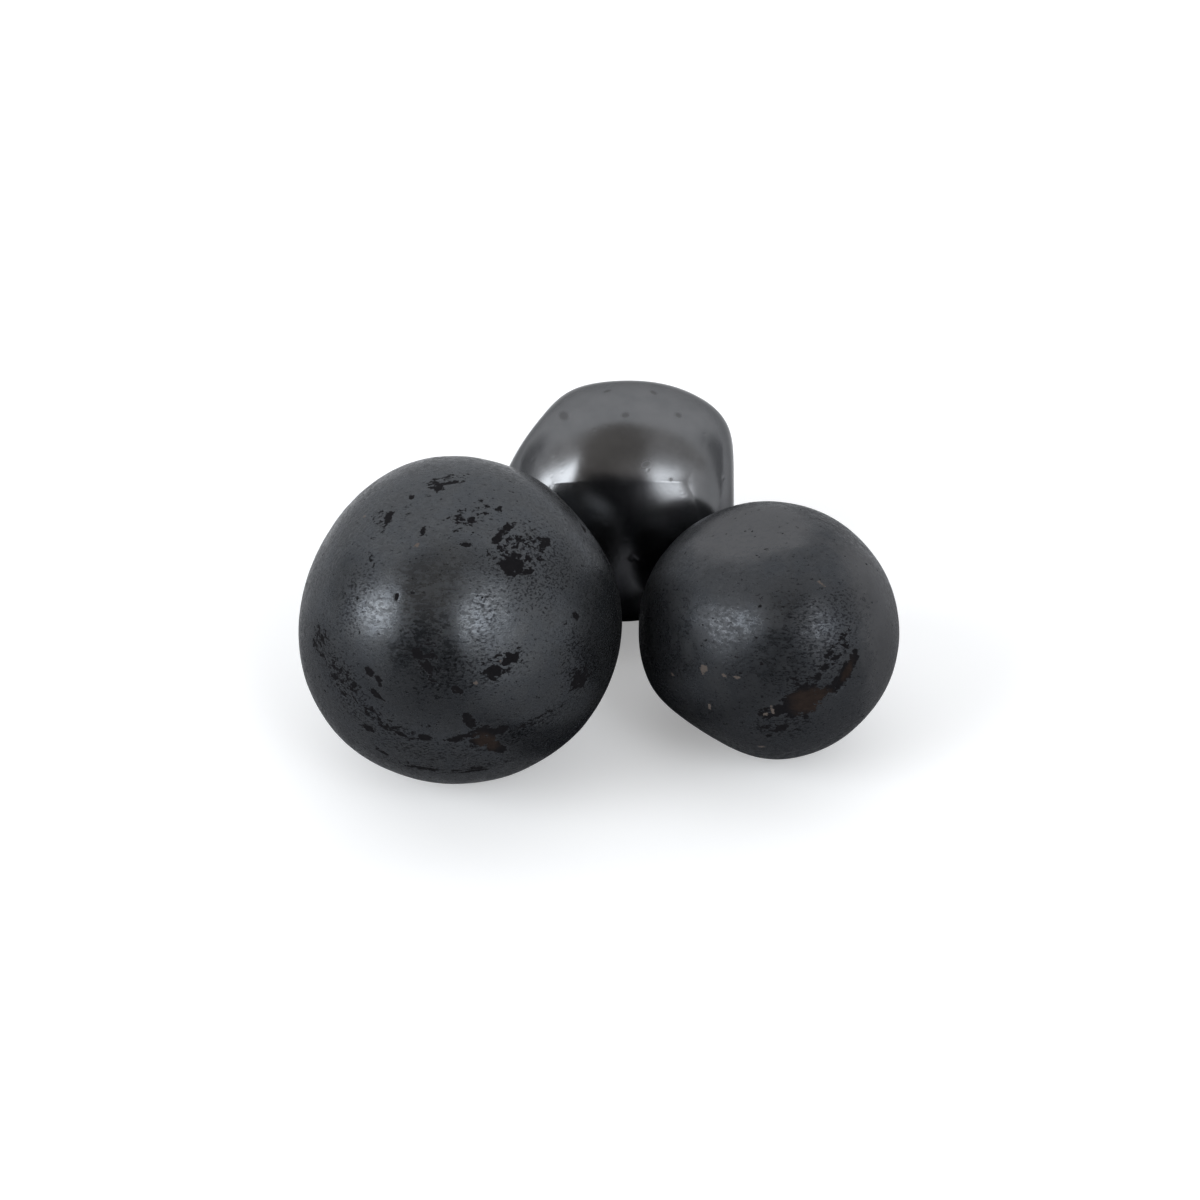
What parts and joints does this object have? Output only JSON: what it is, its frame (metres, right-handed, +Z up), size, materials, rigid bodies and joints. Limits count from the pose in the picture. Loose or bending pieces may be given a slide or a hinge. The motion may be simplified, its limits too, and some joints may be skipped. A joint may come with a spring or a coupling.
{
  "type": "massage stone set",
  "caption": "Loose tumbled massage stones, smooth dark steel-grey pebbles of graded size that lie together on a flat surface.",
  "frame": {"origin": "on the resting surface, in the middle of the set's footprint", "axes": "+X to the right along the two front stones, +Y back to the stone behind them, +Z up"},
  "size_m": [0.0672, 0.0602, 0.0349],
  "materials": {
    "large_stone": "satin",
    "right_stone": "satin",
    "back_stone": "gloss"
  },
  "bodies": {
    "large_stone": {"large_stone": "large_stone"},
    "right_stone": {"right_stone": "right_stone"},
    "back_stone": {"back_stone": "back_stone"}
  },
  "joints": [
    {"name": "right_stone_lift", "type": "slide", "parent": "large_stone", "child": "right_stone", "axis": [0, 0, 1], "range_m": [0, 0.05]},
    {"name": "back_stone_lift", "type": "slide", "parent": "large_stone", "child": "back_stone", "axis": [0, 0, 1], "range_m": [0, 0.05]}
  ]
}
